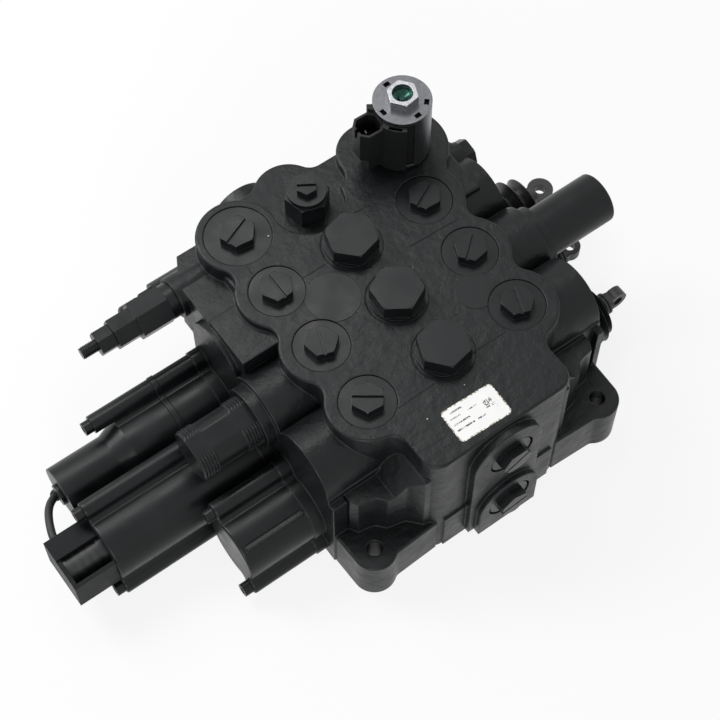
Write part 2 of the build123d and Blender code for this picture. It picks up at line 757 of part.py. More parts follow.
def relief_poppet():
    """A small poppet that closes the cartridge's nose from inside."""
    x, y = relief_at
    stem = rod_z(5.9, x, y, 99, 104)
    cone = Pos(x, y, 98.5) * Cone(4.4, 5.9, 1.0)
    return stem + cone


def relief_spring():
    x, y = relief_at
    return Pos(x, y, 104.3) * coil_spring(5.8, 1.5, rear_top + 9 - 104.6, 5)


def solenoid_stem():
    """The solenoid valve's threaded body and the tube that the coil slides over."""
    x, y = solenoid_at
    stem = rod_z(solenoid_thread_r, x, y, 86, body_height)
    stem += rod_z(13.0, x, y, body_height, body_height + 2)
    stem_top = body_height + coil_height + stem_stand
    stem += rod_z(7.0, x, y, body_height + 2, stem_top)
    stem -= Pos(x, y, stem_top - 1) * Cone(2.0, 5.0, 2)
    stem -= rod_z(4.0, x, y, 85, body_height + 34)
    return stem


def solenoid_plunger():
    x, y = solenoid_at
    return rod_z(3.93, x, y, 90, body_height + 28)


def wedge(inner_r, outer_r, start, end, z0, z1):
    """A ring sector about the solenoid's axis."""
    x, y = solenoid_at
    arc = CenterArc((0, 0), outer_r, start, end - start)
    inner = CenterArc((0, 0), inner_r, start, end - start)
    outline = make_face([arc, inner, Line(arc @ 0, inner @ 0), Line(arc @ 1, inner @ 1)])
    return Pos(x, y, z0) * extrude(outline, z1 - z0, dir=(0, 0, 1))


def solenoid_coil():
    """The steel can with four small notches in its top, open on its connector side."""
    x, y = solenoid_at
    low = body_height + 2.3
    high = body_height + coil_height
    can = rod_z(coil_r, x, y, low, high)
    can -= rod_z(7.2, x, y, low - 1, high + 1)
    for angle in (93, 183, 273, 318):
        notch = Pos(x, y, high) * Rot(0, 0, angle) * Pos(coil_r - 3.8, 0, 0) * Box(3.2, 4.5, 3)
        can -= notch
    return can - wedge(can_window_r, coil_r + 1, *moulding_span, low + 2.5, high - 3)


def connector():
    """The moulded coil end, its socket facing up, and a shallow pocket beside it."""
    x, y = solenoid_at
    low = body_height + 5.1
    high = body_height + coil_height - 3.3
    start, end = moulding_span
    body = wedge(can_window_r + 0.3, coil_r - 0.4, start + 1, end - 1, low, high)
    body += wedge(can_window_r + 1, moulding_r, start + 10, end - 16, low, high)
    at = Pos(x, y, 0) * Rot(0, 0, socket_angle) * Pos(socket_reach, 0, 0)
    outline = chamfer(Rectangle(19, 18).vertices(), 4.5)
    shroud = at * Pos(0, 0, socket_mouth - 27) * extrude(outline, 27, dir=(0, 0, 1))
    shroud += at * Pos(-2, 0, low) * Pos(0, 0, 9) * Box(12, 14, 18)
    shroud -= rod_z(can_window_r + 1, x, y, low - 1, high + 1)
    inside = offset(outline, amount=-1.7)
    shroud -= at * Pos(0, 0, socket_mouth - 19) * extrude(inside, 20, dir=(0, 0, 1))
    key = at * Pos(8.4, 0, socket_mouth - 4) * Box(2.4, 3, 9)
    pocket = Pos(x, y, high) * Rot(0, 0, 222) * Pos(coil_r + 1.7, 0, 0) * Box(2.4, 9, 24)
    return (body - at * Pos(0, 0, socket_mouth + 1) * extrude(outline, 20, both=True)) + shroud - key - pocket


def connector_pins():
    """Two blades that stand in the socket."""
    x, y = solenoid_at
    blades = []
    for side in (-3, 3):
        at = Pos(x, y, socket_mouth - 19 + 4) * Rot(0, 0, socket_angle) * Pos(socket_reach, side, 0)
        blades += (at * Box(0.8, 2.8, 8)).solids()
    return Compound(children=blades)


def solenoid_nut():
    x, y = solenoid_at
    high = body_height + coil_height
    nut = Pos(x, y, high) * hexagon(solenoid_nut_af, 7.5, 38)
    return nut - rod_z(7.0 + thread_fit, x, y, high - 1, high + 9)


def side_relief_body():
    """The port relief on the left: thread, round collar and a long hexagon."""
    y, z = side_relief_y, side_relief_z
    body = rod_x(side_relief_r, left_face, -83, y, z)
    body += rod_x(12.5, -118, left_face, y, z)
    lay = Pos(-118, y, z) * Rot(0, -90, 0)
    body += lay * hexagon(25, 24, 8)
    body += Pos(-142, y, z) * Rot(0, -90, 0) * hexagon(20, 17, 8)
    body -= rod_x(6.5, -153, -92, y, z)
    body -= rod_x(4.0 + thread_fit, -160, -152, y, z)
    return body - rod_x(4.0, -93, -81, y, z)


def side_relief_poppet():
    y, z = side_relief_y, side_relief_z
    cone = Pos(-92.6, y, z) * Rot(0, -90, 0) * Cone(4.4, 5.9, 1.0)
    return cone + rod_x(5.9, -99, -93.1, y, z)


def side_relief_spring():
    y, z = side_relief_y, side_relief_z
    return Pos(-99.3, y, z) * Rot(0, -90, 0) * coil_spring(5.8, 1.5, 50.0, 8)


def side_relief_adjuster():
    """Adjusting screw with its spring button."""
    y, z = side_relief_y, side_relief_z
    return rod_x(4.0, -183, -150, y, z) + rod_x(6.2, -152.8, -149.8, y, z)


def side_relief_locknut():
    y, z = side_relief_y, side_relief_z
    nut = Pos(-159.2, y, z) * Rot(0, -90, 0) * hexagon(16, 12, 8)
    return nut - rod_x(4.0 + thread_fit, -172, -159, y, z)


def low_fitting():
    """A plain fitting below the side relief valve: hexagon, dome and a small end screw."""
    y, z = low_fitting_y, low_fitting_z
    body = rod_x(9, low_boss_end, low_boss_end + 21, y, z)
    body += Pos(low_boss_end, y, z) * Rot(0, -90, 0) * hexagon(20, 10, 20)
    body += rod_x(8, low_boss_end - 12, low_boss_end - 10, y, z)
    dome = rod_x(10.5, low_boss_end - 27, low_boss_end - 12, y, z)
    body += fillet(dome.edges().group_by(Axis.X)[0], 3)
    return body + Pos(low_boss_end - 27, y, z) * Rot(0, -90, 0) * hexagon(10, 8, 20)


def rear_plug():
    y, z = rear_plug_y, rear_plug_z
    end = rear_boss_end
    body = rod_x(rear_plug_r, end - 15, end, y, z) + rod_x(11, end, end + 4, y, z)
    body += Pos(end + 4, y, z) * Rot(0, 90, 0) * hexagon(19, 7, 10)
    socket = Pos(end + 8, y, z) * Rot(0, 90, 0) * extrude(RegularPolygon(4.6, 6), 4)
    return body - socket


def port_stub(side):
    """A plain closed pipe stub screwed into the side of the middle barrel."""
    mouth = left_face - 8 if side < 0 else right_face + 8
    end = stub_left_end if side < 0 else stub_right_end
    pipe = rod_x(stub_r, mouth, end, 0, stub_z) + rod_x(stub_thread_r - thread_fit, mouth, side * 93, 0, stub_z)
    pipe = fillet(pipe.edges().group_by(Axis.X)[0 if side < 0 else -1], 1.5)
    return pipe - rod_x(stub_bore_r, side * 92, end - side * 4, 0, stub_z)


def face_plugs():
    solids = []
    for z, face, angle in zip(face_plug_z, (pad_y, lower_pad_y), (28, 8)):
        plug = rod_y(face_thread_r, face_plug_x, face + 3, face + 20, z)
        plug += rod_y(15.5, face_plug_x, face + 0.6, face + 3, z)
        head = Pos(face_plug_x, face + 0.6, z) * Rot(90, 0, 0) * slotted_head(slotted_hex_af, slotted_hex_h, angle)
        solids += (plug + head).solids()
    return Compound(children=solids)


def lock_frame():
    """The lock solenoid's steel bracket: end plate, two legs and a folded lip over the coil."""
    z0 = spool_height - 14
    z1 = spool_height + 14
    start = cap_end["middle"]
    frame = block(lock_end, lock_end + lock_frame_t, -lock_half_y, lock_half_y, z0, z1)
    frame += block(lock_end, start, lock_half_y - lock_frame_t, lock_half_y, z0, z1)
    frame += block(lock_end, start, -lock_half_y, -lock_half_y + lock_frame_t, z0, z1)
    frame += block(lock_end, start, 4, lock_half_y, z1 - lock_frame_t + 1.5, z1 + 1.5)
    return frame


def lock_coil():
    end = lock_end + lock_frame_t
    start = cap_end["middle"]
    coil = rod_x(lock_coil_r - 1.2, end, start, 0, spool_height)
    coil = coil + rod_x(lock_coil_r - 0.4, start - 3, start, 0, spool_height)
    coil = coil + rod_x(lock_coil_r - 0.4, end, end + 2, 0, spool_height)
    return coil - rod_x(lock_plunger_r + poppet_fit, end + 4, start + 1, 0, spool_height)


def lock_plunger():
    start = cap_end["middle"]
    return rod_x(lock_plunger_r, lock_end + lock_frame_t + 10, start + cap_end_wall + 4, 0, spool_height)


def lead_route():
    """Points of the lead, from the ball gland on the rear cap to the lock solenoid's leg."""
    return [
        (-241.8, 56.0, 26.6),
        (-245.8, 52.9, 30.6),
        (-250.2, 48.2, 34.2),
        (-253.6, 42.6, 37.4),
        (-256.4, 36.4, 40.0),
        (-258.8, 29.8, 42.0),
        (-260.6, 23.8, 43.2),
        (-260.6, lock_half_y, 43.2),
    ]


def lead():
    """The lead as straight runs with tangent arcs as large as the runs allow."""
    points = [Vector(*p) for p in lead_route()]
    radii = []
    for before, at, after in zip(points, points[1:], points[2:]):
        turn = math.radians((at - before).get_angle(after - at))
        shorter = min((at - before).length, (after - at).length)
        radii.append(0.45 * shorter / math.tan(turn / 2))
    print("lead radii", [round(r, 1) for r in radii])
    path = FilletPolyline(*points, radius=radii)
    tube = sweep(Plane(path @ 0, z_dir=path % 0) * Circle(lead_d / 2), path=path)
    share = tube.volume / (math.pi * lead_d**2 / 4 * path.length)
    print("lead length", round(path.length, 1), "volume share", round(share, 4))
    return tube


def rear_end_fittings():
    """The ball gland that the lead leaves the rear cap through, and the round disc above it."""
    start, onward = [Vector(*p) for p in lead_route()[:2]]
    ball = Pos(*gland_at) * Sphere(4.4) - block(rear_end, rear_end + 9, 40, 70, 10, 40)
    drilling = Plane(start, z_dir=onward - start) * Pos(0, 0, 5) * Cylinder(lead_d / 2 + 0.05, 10)
    disc = rod_x(7.8, rear_end - 2.6, rear_end, spool_rows["rear"], spool_height)
    disc -= rod_x(4.0, rear_end - 4, rear_end - 1.4, spool_rows["rear"], spool_height)
    return Compound(children=[*(ball - drilling).solids(), *disc.solids()])


def label():
    plate = extrude(RectangleRounded(39.5, 25, 3), 0.25)
    return Pos(-9.5, -96.5, body_height) * Rot(0, 0, -2) * plate


front_collar = -137.0
middle_collar = -137.0
rear_collar = -131.0
front_wall = cap_end["front"] + cap_end_wall
rear_wall = rear_joint - rear_plate_t

nodes = {
    "valve_housing": valve_housing(),
    "spool_front": spool("front"),
    "spool_middle": spool("middle"),
    "spool_rear": spool("rear"),
    "spool_bolt_front": spool_end_bolt("front", front_collar - 8, front_collar),
    "spool_bolt_middle": spool_end_bolt("middle", middle_collar - 12, middle_collar),
    "spool_bolt_rear": spool_end_bolt("rear", rear_collar - 12, rear_collar),
    "boot_front": boot("front"),
    "boot_middle": boot("middle"),
    "boot_rear": boot("rear"),
    "boot_retainers": boot_retainers(),
    "retainer_screws": retainer_screws(),
    "cap_front": end_cap("front"),
    "cap_middle": end_cap("middle"),
    "cap_rear": rear_cap(),
    "rear_spacer_plate": rear_spacer_plate(),
    "rear_cap_extension": rear_cap_extension(),
    "cap_gaskets": cap_gaskets(),
    "cap_screws": cap_screws(),
    "port_plugs": port_plugs(),
    "big_cavity_plug": big_plug(),
    "core_plugs": core_plugs(),
    "relief_body": relief_body(),
    "relief_adjuster": relief_adjuster(),
    "relief_poppet": relief_poppet(),
    "relief_spring": relief_spring(),
    "solenoid_stem": solenoid_stem(),
    "solenoid_plunger": solenoid_plunger(),
    "solenoid_coil": solenoid_coil(),
    "solenoid_connector": connector(),
    "connector_pins": connector_pins(),
    "solenoid_nut": solenoid_nut(),
    "side_relief_body": side_relief_body(),
    "side_relief_poppet": side_relief_poppet(),
    "side_relief_spring": side_relief_spring(),
    "side_relief_adjuster": side_relief_adjuster(),
    "side_relief_locknut": side_relief_locknut(),
    "low_side_fitting": low_fitting(),
    "rear_side_plug": rear_plug(),
    "port_stub_left": port_stub(-1),
    "port_stub_right": port_stub(1),
    "face_plugs": face_plugs(),
    "lock_frame": lock_frame(),
    "lock_coil": lock_coil(),
    "lock_plunger": lock_plunger(),
    "lock_lead": lead(),
    "rear_end_fittings": rear_end_fittings(),
    "plain_label": label(),
}
for row, angle in zip(("front", "middle", "rear"), (40, 56, 44)):
    nodes["load_check_plug_" + row] = load_check_plug(spool_rows[row], angle)
    nodes["load_check_poppet_" + row] = load_check_poppet(spool_rows[row])
    nodes["load_check_spring_" + row] = load_check_spring(spool_rows[row])
nodes["springs_front"] = centring_springs("front", front_collar, front_wall)
nodes["springs_middle"] = centring_springs("middle", middle_collar, middle_wall)
nodes["springs_rear"] = centring_springs("rear", rear_collar, rear_wall)

for name, shape in nodes.items():
    export_step(shape, "parts/" + name + ".step")
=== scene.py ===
import math

import bmesh
import bpy
from mathutils import Matrix, Vector, noise


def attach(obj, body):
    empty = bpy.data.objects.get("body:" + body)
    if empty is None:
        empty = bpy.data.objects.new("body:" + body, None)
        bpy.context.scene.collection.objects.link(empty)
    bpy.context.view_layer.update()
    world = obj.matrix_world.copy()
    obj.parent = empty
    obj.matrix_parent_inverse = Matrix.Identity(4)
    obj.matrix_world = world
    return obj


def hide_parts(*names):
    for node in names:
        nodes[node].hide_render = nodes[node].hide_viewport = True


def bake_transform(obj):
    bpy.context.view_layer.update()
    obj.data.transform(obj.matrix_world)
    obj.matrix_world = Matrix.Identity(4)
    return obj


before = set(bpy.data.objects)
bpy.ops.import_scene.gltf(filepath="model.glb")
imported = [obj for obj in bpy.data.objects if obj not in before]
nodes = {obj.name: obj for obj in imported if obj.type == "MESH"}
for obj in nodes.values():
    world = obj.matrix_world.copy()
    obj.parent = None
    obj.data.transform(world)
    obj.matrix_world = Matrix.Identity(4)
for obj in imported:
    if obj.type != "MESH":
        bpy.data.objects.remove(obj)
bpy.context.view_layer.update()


# Camera: a long lens from above the left front corner, as the valve was photographed.
# The three directions are the camera's right, up and backward, measured from the plug grid.
camera = bpy.data.objects.new("camera", bpy.data.cameras.new("camera"))
bpy.context.scene.collection.objects.link(camera)
right = Vector((0.809, -0.588, 0))
up = Vector((0.518, 0.7125, 0.4735))
back = Vector((-0.278, -0.383, 0.881))
turned_to = Matrix((right, up, back)).transposed().to_4x4()
camera.matrix_world = Matrix.Translation((-0.3743, -0.4746, 1.1631)) @ turned_to
camera.data.lens = 92.4
camera.data.sensor_width = 36.0
camera.data.clip_start = 0.1
camera.data.clip_end = 30.0
bpy.context.scene.camera = camera


# Housing: one sand casting in grey iron, shot-blasted, machined on its faces and sprayed satin
# black over everything once the valve was assembled, so machined and cast skin share the paint.
def colour(code):
    """An sRGB hex code as the linear colour that a shader takes."""
    parts = [int(code[i : i + 2], 16) / 255 for i in (1, 3, 5)]
    return (*[p / 12.92 if p <= 0.04045 else ((p + 0.055) / 1.055) ** 2.4 for p in parts], 1.0)


def add(tree, kind, inputs=None, **settings):
    """Adds a node; inputs gives a number, a colour or another node's output for each socket."""
    made = tree.nodes.new("ShaderNode" + kind)
    for name, value in settings.items():
        setattr(made, name, value)
    for name, value in (inputs or {}).items():
        if isinstance(value, bpy.types.NodeSocket):
            tree.links.new(value, made.inputs[name])
        else:
            made.inputs[name].default_value = value
    return made


def bare_finish(name, roughness, metallic=0.0):
    """A material with one Principled shader: returns it, its tree, the shader and Object coordinates."""
    finish = bpy.data.materials.new(name)
    finish.use_nodes = True
    tree = finish.node_tree
    shader = tree.nodes["Principled BSDF"]
    shader.inputs["Roughness"].default_value = roughness
    shader.inputs["Metallic"].default_value = metallic
    return finish, tree, shader, add(tree, "TexCoord").outputs["Object"]


def give(finish, *names):
    """Gives CAD nodes a finish."""
    for name in names:
        for slot in nodes[name].material_slots:
            slot.material = finish


def black_paint(name, grain_mm, grain_depth, edge_mm, roughness, shine=0.24, pit_mm=0.0):
    """Satin black paint over metal whose own grain shows through, greyer on the edges: partly paint rubbed
    thin there, partly a painted highlight.

    A texture's scale is 1000 over the width of its pattern in millimetres, here and further down.
    """
    finish, tree, shader, here = bare_finish(name, roughness)
    shader.inputs["Specular IOR Level"].default_value = shine
    grain = add(tree, "TexNoise", {"Vector": here, "Scale": 1000 / grain_mm, "Detail": 5.0, "Roughness": 0.6})

    # The sprayed film is thicker and thinner over patches 16 mm wide.
    film = add(tree, "TexNoise", {"Vector": here, "Scale": 1000 / 16.0, "Detail": 3.0})
    gloss = add(
        tree,
        "MapRange",
        {
            "Value": film.outputs["Fac"],
            "From Min": 0.3,
            "From Max": 0.7,
            "To Min": roughness - 0.06,
            "To Max": roughness + 0.08,
        },
    )
    tree.links.new(gloss.outputs["Result"], shader.inputs["Roughness"])
    tone = add(
        tree,
        "Mix",
        {0: film.outputs["Fac"], 6: colour("#0c0e0f"), 7: colour("#151819")},
        data_type="RGBA",
    )

    # An edge is where the rounded normal leaves the face's own; there the colour turns grey, partly as rubbed
    # paint and partly as a painted highlight along the edge.
    round_edge = add(tree, "Bevel", {"Radius": edge_mm / 1000}, samples=6)
    true_face = add(tree, "NewGeometry")
    same = add(
        tree,
        "VectorMath",
        {0: round_edge.outputs["Normal"], 1: true_face.outputs["Normal"]},
        operation="DOT_PRODUCT",
    )
    edge = add(tree, "MapRange", {"Value": same.outputs["Value"], "From Min": 0.99, "From Max": 0.8})
    rubbed_and_highlit = add(tree, "Math", {0: edge.outputs["Result"], 1: grain.outputs["Fac"]}, operation="MULTIPLY")
    # The grey mixed in on the edges is rubbed paint together with a painted highlight.
    worn_and_highlit = add(
        tree,
        "Mix",
        {0: rubbed_and_highlit.outputs[0], 6: tone.outputs[2], 7: colour("#3c3e40")},
        data_type="RGBA",
    )
    tree.links.new(worn_and_highlit.outputs[2], shader.inputs["Base Color"])

    bumps = add(
        tree,
        "Bump",
        {
            "Height": grain.outputs["Fac"],
            "Strength": 0.85,
            "Distance": grain_depth / 1000,
            "Normal": round_edge.outputs["Normal"],
        },
    )
    if pit_mm:
        # Cast skin: waves 7 mm long where the mould gave way, and round blow holes.
        waves = add(tree, "TexNoise", {"Vector": here, "Scale": 1000 / 7.0, "Detail": 2.0})
        bumps = add(
            tree,
            "Bump",
            {
                "Height": waves.outputs["Fac"],
                "Strength": 0.9,
                "Distance": 0.0006,
                "Normal": bumps.outputs["Normal"],
            },
        )
        cells = add(tree, "TexVoronoi", {"Vector": here, "Scale": 1000 / pit_mm}, feature="F1")
        pits = add(tree, "MapRange", {"Value": cells.outputs["Distance"], "From Min": 0.05, "From Max": 0.22})
        bumps = add(
            tree,
            "Bump",
            {
                "Height": pits.outputs["Result"],
                "Strength": 0.35,
                "Distance": grain_depth / 1000,
                "Normal": bumps.outputs["Normal"],
            },
        )
    tree.links.new(bumps.outputs["Normal"], shader.inputs["Normal"])
    return finish


# Painted grey iron: the sand's grain and the blow holes show through the paint as a rough skin.
# The grain is really 0.3 mm, and is drawn 1.2 mm wide so that it shows.
iron_paint = black_paint(
    "satin_black_paint_on_sand_cast_iron",
    grain_mm=1.2,
    grain_depth=0.16,
    edge_mm=1.4,
    roughness=0.37,
    pit_mm=4.5,
)
give(iron_paint, "valve_housing")


# Mould lines: thin raised lines on the top face where the core halves of the mould met, cast in
# one with the housing, dressed off with a grinder but not gone.
def piece(shape, name, finish, body, sharp=0.6):
    """Makes a piece of a shape drawn in millimetres, and sets it on a body."""
    bmesh.ops.scale(shape, vec=(0.001, 0.001, 0.001), verts=shape.verts)
    bmesh.ops.remove_doubles(shape, verts=shape.verts, dist=1e-7)
    bmesh.ops.recalc_face_normals(shape, faces=shape.faces)
    mesh = bpy.data.meshes.new(name)
    shape.to_mesh(mesh)
    shape.free()
    mesh.shade_smooth()
    mesh.set_sharp_from_angle(angle=sharp)
    mesh.materials.append(finish)
    made = bpy.data.objects.new(name, mesh)
    bpy.context.scene.collection.objects.link(made)
    if body:
        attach(made, body)
    return made


core_lines = [
    ((-47.2, -65.2), (-17.7, -64.5)),
    ((-40.7, 47.9), (-23.3, 47.9)),
    ((-65.5, 77.3), (-66.3, 69.9)),
    ((14.2, -61.2), (41.2, -61.7)),
    ((30.3, 26.1), (69.8, 24.5)),
    ((16.0, 69.2), (31.2, 67.8)),
    ((31.2, 67.8), (38.3, 58.5)),
]
top_z = 125.0
ridge_high = 0.28
ridge_section = [(-0.7, -0.1), (0, ridge_high), (0.7, -0.1)]
shape = bmesh.new()
for start, end in core_lines:
    start, end = Vector((*start, top_z)), Vector((*end, top_z))
    along = (end - start).normalized()
    aside = Vector((-along.y, along.x, 0))
    rim = [shape.verts.new(start + aside * s + Vector((0, 0, z))) for s, z in ridge_section]
    section = shape.faces.new(rim)
    grown = bmesh.ops.extrude_face_region(shape, geom=[section], use_keep_orig=True)
    moved = [v for v in grown["geom"] if isinstance(v, bmesh.types.BMVert)]
    bmesh.ops.translate(shape, vec=end - start, verts=moved)
crest = [e for e in shape.edges if all(abs(v.co.z - top_z - ridge_high) < 1e-4 for v in e.verts)]
bmesh.ops.bevel(shape, geom=crest, offset=0.25, segments=3, profile=0.5, affect="EDGES", material=-1)
piece(shape, "core_lines", iron_paint, "valve")


# Port threads: cut with a tap in the cast iron, 1 1/16-12 in the six work ports underneath and
# 1 5/16-12 in the inlet and outlet behind. Overspray reached them all.
def thread(radius, pitch, length, depth):
    """A helical thread along +Z from 0: one tooth wound round, outwards for depth above 0, inwards below."""
    steps = 24
    turns = int(length / pitch)
    foot, tip, sunk = pitch * 0.42, pitch * 0.06, 0.15
    foot_r, crest_r = radius - sunk * math.copysign(1, depth), radius + depth
    tooth = [(foot_r, -foot), (crest_r, -tip), (crest_r, tip), (foot_r, foot)]
    shape = bmesh.new()
    loop = [shape.verts.new((r, 0, z + pitch * 0.5)) for r, z in tooth]
    profile = [shape.edges.new((a, b)) for a, b in zip(loop, loop[1:] + loop[:1])]
    made = bmesh.ops.spin(
        shape,
        geom=loop + profile,
        cent=(0, 0, 0),
        axis=(0, 0, 1),
        dvec=(0, 0, pitch / steps),
        angle=math.tau * turns,
        steps=steps * turns,
        use_merge=False,
    )
    last = [v for v in made["geom_last"] if isinstance(v, bmesh.types.BMVert)]
    bmesh.ops.contextual_create(shape, geom=loop)
    bmesh.ops.contextual_create(shape, geom=last)
    return shape


inch_pitch = 2.117
row_y = {"front": -50.0, "middle": 0.0, "rear": 50.0}
for side in (-60.0, 60.0):
    for y in row_y.values():
        shape = thread(radius=12.6, pitch=inch_pitch, length=16.0, depth=-0.65)
        bmesh.ops.translate(shape, vec=(side, y, 1.6), verts=shape.verts)
        name = f"port_thread_{side:.0f}_{y:.0f}".replace("-", "m")
        piece(shape, name, iron_paint, "valve")
for name, x, z in (("inlet", -30.0, 84.0), ("outlet", 42.0, 42.0)):
    shape = thread(radius=15.2, pitch=inch_pitch, length=17.0, depth=-0.65)
    lay = Matrix.Translation((x, 140.4, z)) @ Matrix.Rotation(math.radians(90), 4, "X")
    bmesh.ops.transform(shape, matrix=lay, verts=shape.verts)
    piece(shape, f"{name}_thread", iron_paint, "valve")


# Spools: hardened steel bar, ground along its length to run in the bores with oil alone between.
# Only the ends that stand out of the boots took paint.
spool_z = 38.0

# Ground steel: bright, with fine lines round the bar, really 0.05 mm and drawn 0.3 mm wide.
ground, tree, shader, here = bare_finish("ground_hardened_steel", 0.22, metallic=1.0)
round_way = add(tree, "Mapping", {"Vector": here, "Scale": (1.0, 0.03, 0.03)})
lines = add(tree, "TexNoise", {"Vector": round_way.outputs["Vector"], "Scale": 1000 / 0.3, "Detail": 3.0})
tone = add(
    tree,
    "Mix",
    {0: lines.outputs["Fac"], 6: colour("#8f9092"), 7: colour("#b9babc")},
    data_type="RGBA",
)
axis_place = add(tree, "SeparateXYZ", {"Vector": here})
painted_from = 0.139
outside = add(tree, "Math", {0: axis_place.outputs["X"], 1: painted_from}, operation="GREATER_THAN")
skin = add(
    tree,
    "Mix",
    {0: outside.outputs[0], 6: tone.outputs[2], 7: colour("#1c1d1f")},
    data_type="RGBA",
)
tree.links.new(skin.outputs[2], shader.inputs["Base Color"])
metal = add(tree, "Math", {0: 1.0, 1: outside.outputs[0]}, operation="SUBTRACT")
tree.links.new(metal.outputs[0], shader.inputs["Metallic"])
gloss = add(tree, "MapRange", {"Value": outside.outputs[0], "To Min": 0.22, "To Max": 0.42})
tree.links.new(gloss.outputs["Result"], shader.inputs["Roughness"])
scratches = add(tree, "Bump", {"Height": lines.outputs["Fac"], "Strength": 0.2, "Distance": 0.00003})
tree.links.new(scratches.outputs["Normal"], shader.inputs["Normal"])
give(ground, "spool_front", "spool_middle", "spool_rear")


# Poppets, end bolts and plungers: turned from steel bar, left bare and oiled. The poppets drop on
# their seats from above, and each end bolt clamps a collar on its spool for the centring springs.

# Oiled turned steel: a soft sheen over the tool's marks, really 0.1 mm and drawn 0.5 mm wide.
turned, tree, shader, here = bare_finish("oiled_turned_steel", 0.3, metallic=1.0)
marks = add(tree, "TexNoise", {"Vector": here, "Scale": 1000 / 0.5, "Detail": 3.0})
tone = add(
    tree,
    "Mix",
    {0: marks.outputs["Fac"], 6: colour("#77787a"), 7: colour("#a2a3a5")},
    data_type="RGBA",
)
tree.links.new(tone.outputs[2], shader.inputs["Base Color"])
cut = add(tree, "Bump", {"Height": marks.outputs["Fac"], "Strength": 0.2, "Distance": 0.00004})
tree.links.new(cut.outputs["Normal"], shader.inputs["Normal"])
give(turned, "spool_bolt_front", "spool_bolt_middle", "spool_bolt_rear")
give(turned, "load_check_poppet_front", "load_check_poppet_middle", "load_check_poppet_rear")
give(turned, "relief_poppet", "side_relief_poppet")
give(turned, "solenoid_plunger", "lock_plunger")


# Springs: coiled cold from hard-drawn round wire, the end turns closer together. Each stands between a seat
# in the valve and one on its spool or poppet.
def spring(name, node, ends, outer_r, wire_d, turns):
    """Coils round wire from its end in the valve to its moving end, both in millimetres."""
    fixed, moving = Vector(ends[0]), Vector(ends[1])
    axis = moving - fixed
    mean_r, travel = outer_r - wire_d / 2, axis.length - wire_d
    per_turn, section = 24, 8
    steps = round(turns * per_turn)
    shape = bmesh.new()
    rings = []
    for i in range(steps + 1):
        turn, share = math.tau * i / per_turn, i / steps
        outward = Vector((math.cos(turn), math.sin(turn), 0))
        # The end turns lie closer, so the wire rises more slowly there.
        rise = 0.45 * share + 0.55 * share * share * (3 - 2 * share)
        centre = outward * mean_r + Vector((0, 0, wire_d / 2 + travel * rise))
        ring = []
        for j in range(section):
            angle = math.tau * j / section
            offset = outward * math.cos(angle) + Vector((0, 0, math.sin(angle)))
            ring.append(shape.verts.new(centre + offset * wire_d / 2))
        rings.append(ring)
    for near, far in zip(rings, rings[1:]):
        for j in range(section):
            shape.faces.new((near[j - 1], near[j], far[j], far[j - 1]))
    shape.faces.new(rings[0])
    shape.faces.new(rings[-1][::-1])
    aim = Vector((0, 0, 1)).rotation_difference(axis).to_matrix().to_4x4()
    bmesh.ops.transform(shape, matrix=Matrix.Translation(fixed) @ aim, verts=shape.verts)
    made = piece(shape, name, wire, None, sharp=1.2)
    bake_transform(made)
    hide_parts(node)


# Spring wire: dark drawing scale with brighter spots where it was rubbed, 1 mm wide.
wire, tree, shader, here = bare_finish("hard_drawn_spring_wire", 0.35, metallic=1.0)
scale = add(tree, "TexNoise", {"Vector": here, "Scale": 1000 / 1.0, "Detail": 4.0})
tone = add(
    tree,
    "Mix",
    {0: scale.outputs["Fac"], 6: colour("#4a4b4e"), 7: colour("#7b7c7f")},
    data_type="RGBA",
)
tree.links.new(tone.outputs[2], shader.inputs["Base Color"])

collar_x = {"front": -137, "middle": -137, "rear": -131}
cap_wall_x = {"front": -164, "middle": -166, "rear": -152}
for row, y in row_y.items():
    inner = (-111.4, collar_x[row] + 2.1)
    outer = (cap_wall_x[row] + 0.1, collar_x[row] - 2.1)
    for side, (seat, rider) in (("inner", inner), ("outer", outer)):
        spring(
            f"centring_{side}_{row}",
            f"springs_{row}",
            ends=((seat, y, spool_z), (rider, y, spool_z)),
            outer_r=16.5,
            wire_d=2.2,
            turns=3.5,
        )
    spring(
        f"check_coil_{row}",
        f"load_check_spring_{row}",
        ends=((0, y, 113.9), (0, y, 79.7)),
        outer_r=6.8,
        wire_d=1.6,
        turns=6,
    )
spring(
    "relief_coil",
    "relief_spring",
    ends=((-4.5, 94.5, 126.9), (-4.5, 94.5, 104.1)),
    outer_r=5.8,
    wire_d=1.5,
    turns=5,
)
spring(
    "side_relief_coil",
    "side_relief_spring",
    ends=((-149.6, 100, 97), (-99.1, 100, 97)),
    outer_r=5.8,
    wire_d=1.5,
    turns=9,
)


# Cavity plugs: turned from hexagon bar, screwed into the top and front, slotted for a driver. The
# three load check plugs have no slot, and the two round core plugs lie flush.

# Painted turned steel: smoother than the casting. The tool's marks under the paint are really
# 0.1 mm, and are drawn 0.5 mm wide so that they show.
plug_paint = black_paint(
    "satin_black_paint_on_turned_steel",
    grain_mm=0.5,
    grain_depth=0.035,
    edge_mm=0.4,
    roughness=0.32,
)
give(plug_paint, "port_plugs", "big_cavity_plug", "core_plugs", "face_plugs", "rear_side_plug")
give(plug_paint, "load_check_plug_front", "load_check_plug_middle", "load_check_plug_rear")


# Relief valve on the top: a hexagon cartridge body with a slotted adjusting screw in it, both of
# turned steel, screwed in among the plugs and painted with them.
give(plug_paint, "relief_body", "relief_adjuster")


